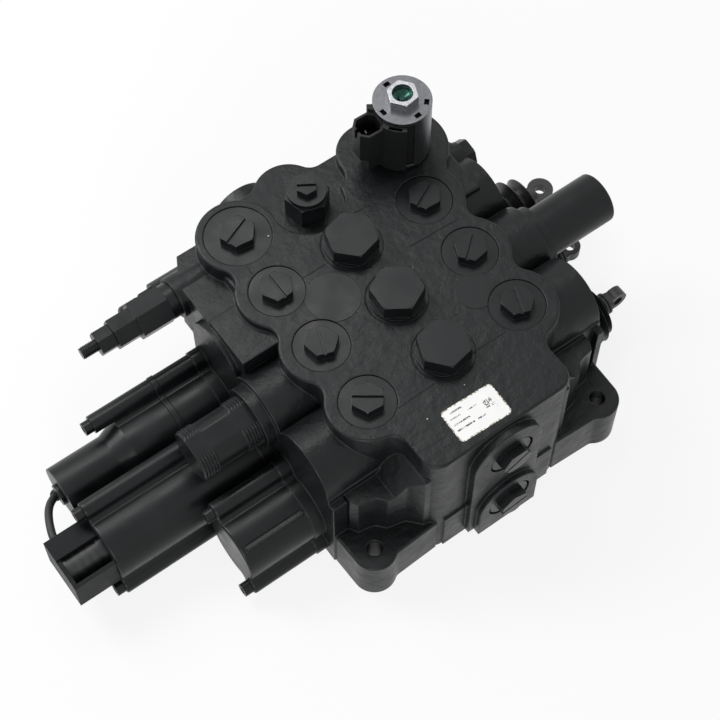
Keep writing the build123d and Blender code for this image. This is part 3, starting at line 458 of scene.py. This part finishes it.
# Solenoid valve: a deep-drawn steel can and a hexagon nut, both bright zinc plated, over a
# moulded nylon coil end whose open socket holds two tinned blades. The nut holds it on the stem.
def plated_metal(name, tone_low, tone_high, roughness, scratch_mm):
    """Bright plating: a soft sheen, mottled in patches 2.5 mm wide, with fine scuffs along its length."""
    finish, tree, shader, here = bare_finish(name, roughness, metallic=1.0)
    mottle = add(tree, "TexNoise", {"Vector": here, "Scale": 1000 / 2.5, "Detail": 6.0, "Roughness": 0.7})
    tone = add(
        tree,
        "Mix",
        {0: mottle.outputs["Fac"], 6: colour(tone_low), 7: colour(tone_high)},
        data_type="RGBA",
    )
    tree.links.new(tone.outputs[2], shader.inputs["Base Color"])
    gloss = add(
        tree,
        "MapRange",
        {
            "Value": mottle.outputs["Fac"],
            "From Min": 0.3,
            "From Max": 0.7,
            "To Min": roughness - 0.08,
            "To Max": roughness + 0.1,
        },
    )
    tree.links.new(gloss.outputs["Result"], shader.inputs["Roughness"])
    long_way = add(tree, "Mapping", {"Vector": here, "Scale": (1.0, 1.0, 0.08)})
    scuffs = add(
        tree,
        "TexNoise",
        {"Vector": long_way.outputs["Vector"], "Scale": 1000 / scratch_mm, "Detail": 4.0},
    )
    round_edge = add(tree, "Bevel", {"Radius": 0.0005}, samples=6)
    marks = add(
        tree,
        "Bump",
        {
            "Height": scuffs.outputs["Fac"],
            "Strength": 0.25,
            "Distance": 0.00005,
            "Normal": round_edge.outputs["Normal"],
        },
    )
    tree.links.new(marks.outputs["Normal"], shader.inputs["Normal"])
    return finish


# Zinc on drawn steel: grey and cloudy, a little rougher than on the turned nut, and its colour darkened below
# the nut's as painted shade, standing for the dim room that the can's side reflects.
# The moulding shows black at the bottom of the four slots in the can's top.
shade_darkened_zinc_can = plated_metal(
    "bright_zinc_on_drawn_steel_darkened_as_painted_shade",
    "#4e4f52",
    "#7b7c7f",
    roughness=0.36,
    scratch_mm=0.4,
)
tree = shade_darkened_zinc_can.node_tree
shader = tree.nodes["Principled BSDF"]
# This tone of the can's zinc is darkened as painted shade.
shade_darkened_zinc_tone = shader.inputs["Base Color"].links[0].from_socket
here = add(tree, "TexCoord").outputs["Object"]
can_x, can_y = 0.073, 0.094
from_axis = add(tree, "Mapping", {"Vector": here, "Location": (-can_x, -can_y, 0)})
flat = add(tree, "VectorMath", {0: from_axis.outputs["Vector"], 1: (1, 1, 0)}, operation="MULTIPLY")
radius = add(tree, "VectorMath", {0: flat.outputs["Vector"]}, operation="LENGTH")
height = add(tree, "SeparateXYZ", {"Vector": here})
slot_reach, slot_top = 0.0191, 0.1778
inside_can = add(tree, "Math", {0: radius.outputs["Value"], 1: slot_reach}, operation="LESS_THAN")
below_top = add(tree, "Math", {0: height.outputs["Z"], 1: slot_top}, operation="LESS_THAN")
in_slot = add(tree, "Math", {0: inside_can.outputs[0], 1: below_top.outputs[0]}, operation="MULTIPLY")
shown = add(tree, "Mix", {0: in_slot.outputs[0], 6: shade_darkened_zinc_tone, 7: colour("#0c0c0d")}, data_type="RGBA")
tree.links.new(shown.outputs[2], shader.inputs["Base Color"])
give(shade_darkened_zinc_can, "solenoid_coil")

# Zinc on turned steel: pale and bright, as the plating really is, its edges still crisp.
zinc_nut = plated_metal(
    "bright_zinc_on_turned_steel",
    "#8f9093",
    "#bdbec1",
    roughness=0.3,
    scratch_mm=0.3,
)
give(zinc_nut, "solenoid_nut")

# Green passivated zinc: dark green and glossy, seen only down the nut's bore.
stem_zinc = plated_metal(
    "green_passivated_zinc_on_turned_steel",
    "#182320",
    "#31544a",
    roughness=0.2,
    scratch_mm=0.2,
)
give(stem_zinc, "solenoid_stem")

# Glass-filled nylon: near black, slightly grey and matt where fibres reach the skin. The fibres are
# really far finer than the 0.7 mm they are drawn at.
nylon, tree, shader, here = bare_finish("moulded_black_glass_filled_nylon", 0.5)
shader.inputs["Specular IOR Level"].default_value = 0.3
fibre = add(tree, "TexNoise", {"Vector": here, "Scale": 1000 / 0.7, "Detail": 5.0})
tone = add(
    tree,
    "Mix",
    {0: fibre.outputs["Fac"], 6: colour("#090a0b"), 7: colour("#131415")},
    data_type="RGBA",
)
tree.links.new(tone.outputs[2], shader.inputs["Base Color"])
gloss = add(tree, "MapRange", {"Value": fibre.outputs["Fac"], "To Min": 0.38, "To Max": 0.62})
tree.links.new(gloss.outputs["Result"], shader.inputs["Roughness"])
soft_edge = add(tree, "Bevel", {"Radius": 0.0006}, samples=6)
skin = add(
    tree,
    "Bump",
    {
        "Height": fibre.outputs["Fac"],
        "Strength": 0.3,
        "Distance": 0.00005,
        "Normal": soft_edge.outputs["Normal"],
    },
)
tree.links.new(skin.outputs["Normal"], shader.inputs["Normal"])
give(nylon, "solenoid_connector")

# Tin on brass: warm, pale and soft.
tinned = plated_metal("tinned_brass_blade", "#a8a49a", "#cfcabb", roughness=0.28, scratch_mm=0.2)
give(tinned, "connector_pins")


# Side relief valve and the plain fitting below it: turned steel, painted with the housing.
# The adjusting screw shows its rolled thread, 1.25 mm a turn, outside the locknut.
give(plug_paint, "side_relief_body", "side_relief_adjuster", "side_relief_locknut", "low_side_fitting")
shape = thread(radius=3.95, pitch=1.25, length=11.0, depth=0.45)
lay = Matrix.Translation((-171.4, 100.0, 97.0)) @ Matrix.Rotation(math.radians(-90), 4, "Y")
bmesh.ops.transform(shape, matrix=lay, verts=shape.verts)
piece(shape, "adjuster_thread", plug_paint, "valve")


# Spring caps on the left: die-cast aluminium, bolted with two long socket-head screws each,
# painted with the housing; a black fibre gasket shows as a thin line at each joint.

# Painted die casting: a faint grain 0.8 mm wide under the paint, and edges rounded by the die.
cap_paint = black_paint(
    "satin_black_paint_on_die_cast_aluminium",
    grain_mm=0.8,
    grain_depth=0.05,
    edge_mm=1.1,
    roughness=0.34,
)
give(cap_paint, "cap_front", "cap_middle", "cap_rear", "rear_spacer_plate", "rear_cap_extension")
give(cap_paint, "port_stub_right", "rear_end_fittings")

# Painted black oxide: the smoothest and glossiest of the painted surfaces, its grain 0.4 mm wide.
screw_paint = black_paint(
    "satin_black_paint_on_black_oxide_screws",
    grain_mm=0.4,
    grain_depth=0.03,
    edge_mm=0.4,
    roughness=0.3,
)
give(screw_paint, "cap_screws", "retainer_screws")

# Compressed fibre sheet: dull black with pale fibres, really far finer than the 0.5 mm drawn.
gasket, tree, shader, here = bare_finish("compressed_fibre_gasket_sheet", 0.8)
fibre = add(tree, "TexNoise", {"Vector": here, "Scale": 1000 / 0.5, "Detail": 6.0, "Roughness": 0.8})
tone = add(
    tree,
    "Mix",
    {0: fibre.outputs["Fac"], 6: colour("#101011"), 7: colour("#2e2e2e")},
    data_type="RGBA",
)
tree.links.new(tone.outputs[2], shader.inputs["Base Color"])
give(gasket, "cap_gaskets")


# Left stub: threaded 12 to the inch at both ends, turned down between, with a flat milled along its
# top for the spanner; the right one is plain. Both were painted with the housing.
stub_from, stub_to, stub_z = -118.0, -164.9, 88.0
stub_r, root_r, threaded, end_chamfer = 18.45, 17.2, 12.0, 1.5
flat_reach, flat_tilt = 15.8, 0.2
around, along = 144, int((stub_from - stub_to) / (inch_pitch / 6))
stations = [stub_from - i * inch_pitch / 6 for i in range(along)] + [stub_to]
shape = bmesh.new()
rings = []
for x in stations:
    ring = []
    for i in range(around):
        turn = math.tau * i / around
        tooth = abs((x / inch_pitch + i / around) % 1.0 - 0.5) * 2
        cut = min(stub_from - x, x - stub_to) < threaded
        r = root_r + (stub_r - root_r) * tooth if cut else root_r
        r = min(r, stub_r - max(0.0, end_chamfer - (x - stub_to)))
        # The flat lies on the side that faces up, tilted a little to the front.
        facing = math.cos(turn - flat_tilt)
        if facing > 0.3:
            r = min(r, flat_reach / facing)
        ring.append(shape.verts.new((x, -r * math.sin(turn), r * math.cos(turn))))
    rings.append(ring)
for near, far in zip(rings, rings[1:]):
    for i in range(around):
        shape.faces.new((near[i - 1], near[i], far[i], far[i - 1]))
shape.faces.new(rings[0][::-1])
shape.faces.new(rings[-1])
bmesh.ops.translate(shape, vec=(0, 0, stub_z), verts=shape.verts)
stub = piece(shape, "threaded_stub", cap_paint, "valve", sharp=0.5)
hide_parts("port_stub_left")


# Lock solenoid on the middle cap: a folded steel bracket round a taped coil, painted black. The
# bracket's paint is thin and dull, as on the pressed plates that hold the boots.

# Painted pressed steel: nearly smooth, and duller than the rest.
frame_paint = black_paint(
    "satin_black_paint_on_pressed_steel",
    grain_mm=0.5,
    grain_depth=0.03,
    edge_mm=0.6,
    roughness=0.42,
    shine=0.1,
)
give(frame_paint, "lock_frame", "boot_retainers")

# Coil tape: black, slightly glossy, lapped every 6 mm. At a scale of 1 a wave is about 1/3.14 long.
tape, tree, shader, here = bare_finish("black_tape_over_coil_winding", 0.45)
turns = add(
    tree,
    "TexWave",
    {"Vector": here, "Scale": 1000 / 6.0 / 3.14, "Distortion": 0.4},
    bands_direction="X",
)
tone = add(
    tree,
    "Mix",
    {0: turns.outputs["Fac"], 6: colour("#101112"), 7: colour("#202123")},
    data_type="RGBA",
)
tree.links.new(tone.outputs[2], shader.inputs["Base Color"])
lap = add(tree, "Bump", {"Height": turns.outputs["Fac"], "Strength": 0.4, "Distance": 0.0002})
tree.links.new(lap.outputs["Normal"], shader.inputs["Normal"])
give(tape, "lock_coil")


# Lock solenoid lead: two thin wires in one extruded PVC sheath, black and matt, stiff enough to
# stand in one arch from the ball gland on the rear cap to the leg of the lock solenoid's bracket.

# Extruded PVC: matt black, with patches of grey dust 3 mm wide.
lead_pvc, tree, shader, here = bare_finish("extruded_black_pvc", 0.62)
dust = add(tree, "TexNoise", {"Vector": here, "Scale": 1000 / 3.0, "Detail": 4.0})
tone = add(
    tree,
    "Mix",
    {0: dust.outputs["Fac"], 6: colour("#141416"), 7: colour("#2a2b2d")},
    data_type="RGBA",
)
tree.links.new(tone.outputs[2], shader.inputs["Base Color"])
grip = add(tree, "MapRange", {"Value": dust.outputs["Fac"], "To Min": 0.5, "To Max": 0.75})
tree.links.new(grip.outputs["Result"], shader.inputs["Roughness"])
skin = add(tree, "Bump", {"Height": dust.outputs["Fac"], "Strength": 0.25, "Distance": 0.0001})
tree.links.new(skin.outputs["Normal"], shader.inputs["Normal"])

lead_route = [
    (-0.2418, 0.0560, 0.0266),
    (-0.2458, 0.0529, 0.0306),
    (-0.2502, 0.0482, 0.0342),
    (-0.2536, 0.0426, 0.0374),
    (-0.2564, 0.0364, 0.0400),
    (-0.2588, 0.0298, 0.0420),
    (-0.2606, 0.0238, 0.0432),
    (-0.2606, 0.0195, 0.0432),
]
line = bpy.data.curves.new("lead", "CURVE")
line.dimensions = "3D"
line.bevel_depth = 0.0028
line.bevel_resolution = 8
line.resolution_u = 10
line.use_fill_caps = True
spline = line.splines.new("NURBS")
spline.points.add(len(lead_route) - 1)
for point, at in zip(spline.points, lead_route):
    point.co = (*at, 1.0)
spline.order_u = 3
spline.use_endpoint_u = True
line.materials.append(lead_pvc)
lead = bpy.data.objects.new("lead", line)
bpy.context.scene.collection.objects.link(lead)
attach(lead, "valve")
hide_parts("lock_lead")


# Spool boots: moulded nitrile rubber bellows, pushed over the spool and held under the plates.
# They took little paint and stay glossier than the iron.

# Nitrile rubber: black, with a bloom that dulls its gloss in patches 5 mm wide.
rubber, tree, shader, here = bare_finish("moulded_black_nitrile_rubber", 0.3)
bloom = add(tree, "TexNoise", {"Vector": here, "Scale": 1000 / 5.0, "Detail": 4.0})
tone = add(
    tree,
    "Mix",
    {0: bloom.outputs["Fac"], 6: colour("#0c0c0d"), 7: colour("#1a1b1c")},
    data_type="RGBA",
)
tree.links.new(tone.outputs[2], shader.inputs["Base Color"])
gloss = add(tree, "MapRange", {"Value": bloom.outputs["Fac"], "To Min": 0.2, "To Max": 0.42})
tree.links.new(gloss.outputs["Result"], shader.inputs["Roughness"])
skin = add(tree, "Bump", {"Height": bloom.outputs["Fac"], "Strength": 0.2, "Distance": 0.0001})
tree.links.new(skin.outputs["Normal"], shader.inputs["Normal"])

boot_wall, folds = 1.5, 4
seat, first_fold = 115.3, 118.6
fold_r, neck_r = 22.4, 13.6
last_fold_r, last_neck_r, lip_r = 19.4, 8.8, 6.9
mouth_x = {"front": 140.0, "middle": 140.0, "rear": 157.7}
for row, y in row_y.items():
    mouth = mouth_x[row]
    pitch = (mouth - first_fold) / folds
    outside = [(seat, neck_r), (first_fold, neck_r)]
    for fold in range(folds):
        crest_r, valley_r = (fold_r, neck_r) if fold < folds - 1 else (last_fold_r, last_neck_r)
        outside.append((first_fold + pitch * (fold + 0.5), crest_r))
        outside.append((first_fold + pitch * (fold + 1), valley_r))
    inside = [(x, r - boot_wall) for x, r in outside]
    inside[-1] = (mouth, lip_r)
    shape = bmesh.new()
    loop = [shape.verts.new((x, 0, r)) for x, r in outside + inside[::-1]]
    rim = [shape.edges.new((a, b)) for a, b in zip(loop, loop[1:] + loop[:1])]
    bmesh.ops.spin(
        shape,
        geom=loop + rim,
        cent=(0, 0, 0),
        axis=(1, 0, 0),
        angle=math.tau,
        steps=56,
        use_merge=True,
    )
    rings = [e for e in shape.edges if abs(e.verts[0].co.x - e.verts[1].co.x) < 1e-4]
    bmesh.ops.bevel(shape, geom=rings, offset=0.55, segments=3, profile=0.5, affect="EDGES", material=-1)
    bmesh.ops.translate(shape, vec=(0, y, spool_z), verts=shape.verts)
    boot = piece(shape, f"bellows_{row}", rubber, None, sharp=1.2)
    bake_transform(boot)
    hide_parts(f"boot_{row}")


# Clips: a turn of spring wire snapped into the collar's groove behind the front and middle eyes,
# its tail bent down. They were painted with the screws.
clip_wire_r, groove_r, groove_x = 0.5, 7.1, 145.2
tail_bends = [Vector((0, 0.6, -0.9)), Vector((0.4, 0.2, -1.5)), Vector((0.8, -0.1, -2.2))]
for row in ("front", "middle"):
    shape = bmesh.new()
    loop = []
    for i in range(10):
        angle = math.tau * i / 10
        x, r = groove_x + clip_wire_r * math.cos(angle), groove_r + clip_wire_r * math.sin(angle)
        loop.append(shape.verts.new((x, 0, r)))
    rim = [shape.edges.new((a, b)) for a, b in zip(loop, loop[1:] + loop[:1])]
    made = bmesh.ops.spin(
        shape,
        geom=loop + rim,
        cent=(0, 0, 0),
        axis=(1, 0, 0),
        angle=math.radians(260),
        steps=40,
        use_merge=False,
    )
    bmesh.ops.rotate(shape, matrix=Matrix.Rotation(math.radians(-110), 3, "X"), verts=shape.verts)
    end = [v for v in made["geom_last"] if isinstance(v, bmesh.types.BMVert)]
    tail = bmesh.ops.contextual_create(shape, geom=end)["faces"]
    for bend in tail_bends:
        grown = bmesh.ops.extrude_face_region(shape, geom=tail)["geom"]
        tail = [f for f in grown if isinstance(f, bmesh.types.BMFace)]
        bmesh.ops.translate(shape, vec=bend, verts=[v for v in grown if isinstance(v, bmesh.types.BMVert)])
    bmesh.ops.contextual_create(shape, geom=loop)
    bmesh.ops.translate(shape, vec=(0, row_y[row], spool_z), verts=shape.verts)
    piece(shape, f"clip_{row}", screw_paint, f"{row}_spool")


# White specks on the top face: drops of other paint that fell on the finished valve and dried
# flat, less than a millimetre across.

# Dried alkyd paint: matt, off-white, greyer where it is thin.
drop_paint, tree, shader, here = bare_finish("dried_white_paint_drops", 0.5)
spread = add(tree, "TexNoise", {"Vector": here, "Scale": 1000 / 0.4})
tone = add(
    tree,
    "Mix",
    {0: spread.outputs["Fac"], 6: colour("#8d8d88"), 7: colour("#d2d2cc")},
    data_type="RGBA",
)
tree.links.new(tone.outputs[2], shader.inputs["Base Color"])
drops = [
    (-36.9, -81.9, 0.55),
    (-3.5, -76.5, 0.4),
    (-40.7, 87.9, 0.5),
    (70.2, -44.5, 0.35),
    (22.0, 12.0, 0.3),
]
shape = bmesh.new()
for x, y, size in drops:
    drop = bmesh.ops.create_icosphere(shape, subdivisions=3, radius=size)["verts"]
    for v in drop:
        v.co *= 1 + 0.35 * noise.noise(v.co * 3 + Vector((x, y, 0)))
        v.co.z *= 0.25
    bmesh.ops.translate(shape, vec=(x, y, top_z), verts=drop)
piece(shape, "paint_drops", drop_paint, "valve")


# Label: white polyester film with rounded corners, printed with rows of dashes and a block of
# squares, and rolled on the dry paint by hand. Its rim is frayed and lifts a little.
film_w, film_h, corner_r, rim_w = 39.5, 25.0, 3.0, 0.75
dash_rows = [
    (8.6, -14.5, -5.0),
    (4.6, -17.0, -9.0),
    (4.6, -3.0, 4.0),
    (0.2, -17.0, -4.5),
    (-4.2, -17.0, -4.0),
    (-4.2, -1.5, 4.5),
]
dash_half_high = 0.55
block_x, block_y, square_mm = (7.5, 13.5), (-1.5, 4.5), 0.7
shape = bmesh.new()
bmesh.ops.create_grid(shape, x_segments=132, y_segments=84, size=0.5)
for face in shape.faces:
    at = face.calc_center_median()
    x, y = at.x * film_w, at.y * film_h
    # Noise breaks the rows into dashes, picks the block's dark squares and wears the rim.
    in_row = any(abs(y - row) < dash_half_high and start < x < end for row, start, end in dash_rows)
    dash = in_row and noise.noise(Vector((x * 1.9, y * 0.6, 1.0))) > -0.12
    in_block = block_x[0] < x < block_x[1] and block_y[0] < y < block_y[1]
    cell = Vector((round(x / square_mm), round(y / square_mm), 2.5))
    if dash or (in_block and noise.noise(cell * 0.83) > 0.0):
        face.material_index = 1
    at_rim = abs(x) > film_w / 2 - rim_w or abs(y) > film_h / 2 - rim_w
    if at_rim and noise.noise(Vector((x * 0.8, y * 0.8, 7.0))) > -0.05:
        face.material_index = 2
for v in shape.verts:
    x, y = v.co.x * film_w, v.co.y * film_h
    corner = Vector((abs(x) - (film_w / 2 - corner_r), abs(y) - (film_h / 2 - corner_r)))
    if corner.x > 0 and corner.y > 0:
        square = max(corner.x, corner.y)
        corner *= square / corner.length
        x = math.copysign(film_w / 2 - corner_r + corner.x, x)
        y = math.copysign(film_h / 2 - corner_r + corner.y, y)
    if v.is_boundary:
        fray = 1 - 0.05 * max(0.0, noise.noise(Vector((x * 1.1, y * 1.1, 4.0))) + 0.1)
        x, y = x * fray, y * fray
    lift = 0.14 * max(0.0, noise.noise(Vector((x * 0.12, y * 0.12, 9.0))))
    v.co = (x, y, 0.06 + lift)
bmesh.ops.solidify(shape, geom=shape.faces[:], thickness=0.12)
lay = Matrix.Translation((-9.5, -96.5, top_z)) @ Matrix.Rotation(math.radians(-2), 4, "Z")
bmesh.ops.transform(shape, matrix=lay, verts=shape.verts)

# Polyester film: white and smooth, with grease smeared over it in patches 9 mm wide.
label_film, tree, shader, here = bare_finish("white_polyester_label_film", 0.38)
grease = add(tree, "TexNoise", {"Vector": here, "Scale": 1000 / 9.0, "Detail": 5.0, "Roughness": 0.65})
smear = add(tree, "MapRange", {"Value": grease.outputs["Fac"], "From Min": 0.6, "From Max": 0.95})
tone = add(
    tree,
    "Mix",
    {0: smear.outputs["Result"], 6: colour("#f4f4f3"), 7: colour("#c4c4bf")},
    data_type="RGBA",
)
tree.links.new(tone.outputs[2], shader.inputs["Base Color"])
curl = add(tree, "Bump", {"Height": grease.outputs["Fac"], "Strength": 0.3, "Distance": 0.0002})
tree.links.new(curl.outputs["Normal"], shader.inputs["Normal"])
label = piece(shape, "label", label_film, "valve")
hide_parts("plain_label")

# Thermal print: grey ink, faded unevenly.
ink, tree, shader, here = bare_finish("thermal_print_on_film", 0.45)
fade = add(tree, "TexNoise", {"Vector": here, "Scale": 1000 / 2.0})
tone = add(
    tree,
    "Mix",
    {0: fade.outputs["Fac"], 6: colour("#3c3d40"), 7: colour("#77787a")},
    data_type="RGBA",
)
tree.links.new(tone.outputs[2], shader.inputs["Base Color"])
label.data.materials.append(ink)

# Bare adhesive: the film's rim is rubbed through to it in places, yellowed and full of grime.
rim_glue, tree, shader, here = bare_finish("yellowed_adhesive_at_film_edge", 0.6)
grime = add(tree, "TexNoise", {"Vector": here, "Scale": 1000 / 1.5, "Detail": 4.0})
tone = add(
    tree,
    "Mix",
    {0: grime.outputs["Fac"], 6: colour("#3b3730"), 7: colour("#d8cfb4")},
    data_type="RGBA",
)
tree.links.new(tone.outputs[2], shader.inputs["Base Color"])
label.data.materials.append(rim_glue)


# Studio: a wide white sweep under the valve, a large soft light behind on the left, a low one from
# the left front and a weak one overhead that shows the iron's grain, in a white room otherwise dim.
def seen_directly(tree):
    """1 for what the camera sees directly, in a mirror or through glass."""
    path = add(tree, "LightPath")
    both = add(
        tree,
        "Math",
        {0: path.outputs["Is Camera Ray"], 1: path.outputs["Is Glossy Ray"]},
        operation="ADD",
    )
    return add(
        tree,
        "Math",
        {0: both.outputs[0], 1: path.outputs["Is Transmission Ray"]},
        operation="ADD",
        use_clamp=True,
    )


# Paper sweep: matt white. Seen directly it is mostly plain white, and the rest keeps the shadow.
paper = bpy.data.materials.new("white_paper_sweep")
paper.use_nodes = True
tree = paper.node_tree
tree.nodes.remove(tree.nodes["Principled BSDF"])
plain_share = 0.86
lit = add(tree, "BsdfDiffuse", {"Color": colour("#ededed")})
glow = add(tree, "Emission", {"Color": colour("#ffffff"), "Strength": 1.0})
share = add(tree, "Math", {0: seen_directly(tree).outputs[0], 1: plain_share}, operation="MULTIPLY")
both = add(tree, "MixShader", {0: share.outputs[0], 1: lit.outputs[0], 2: glow.outputs[0]})
tree.links.new(both.outputs[0], tree.nodes["Material Output"].inputs["Surface"])
shape = bmesh.new()
bmesh.ops.create_grid(shape, x_segments=2, y_segments=2, size=4.0)
mesh = bpy.data.meshes.new("floor")
shape.to_mesh(mesh)
shape.free()
mesh.materials.append(paper)
floor = bpy.data.objects.new("floor", mesh)
bpy.context.scene.collection.objects.link(floor)

world = bpy.data.worlds.new("studio")
world.use_nodes = True
bpy.context.scene.world = world
tree = world.node_tree
room = tree.nodes["Background"]
room.inputs["Color"].default_value = colour("#ffffff")
room.inputs["Strength"].default_value = 0.28
white = add(tree, "Background", {"Color": colour("#ffffff"), "Strength": 1.0})
both = add(tree, "MixShader", {0: seen_directly(tree).outputs[0], 1: room.outputs[0], 2: white.outputs[0]})
tree.links.new(both.outputs[0], tree.nodes["World Output"].inputs["Surface"])

lit_point = Vector((0, 0, 0.05))
for name, place, size, power in (
    ("rear_left", (-0.6, 1.1, 1.3), 0.8, 22.0),
    ("overhead", (0.22, 0.75, 1.6), 0.45, 5.0),
    ("front", (-1.1, -1.3, 0.9), 0.6, 12.0),
):
    lamp = bpy.data.lights.new(name, "AREA")
    lamp.shape = "SQUARE"
    lamp.size = size
    lamp.energy = power
    holder = bpy.data.objects.new(name, lamp)
    holder.location = place
    holder.rotation_mode = "QUATERNION"
    holder.rotation_quaternion = (lit_point - Vector(place)).to_track_quat("-Z", "Y")
    bpy.context.scene.collection.objects.link(holder)

bpy.context.scene.view_settings.view_transform = "Standard"
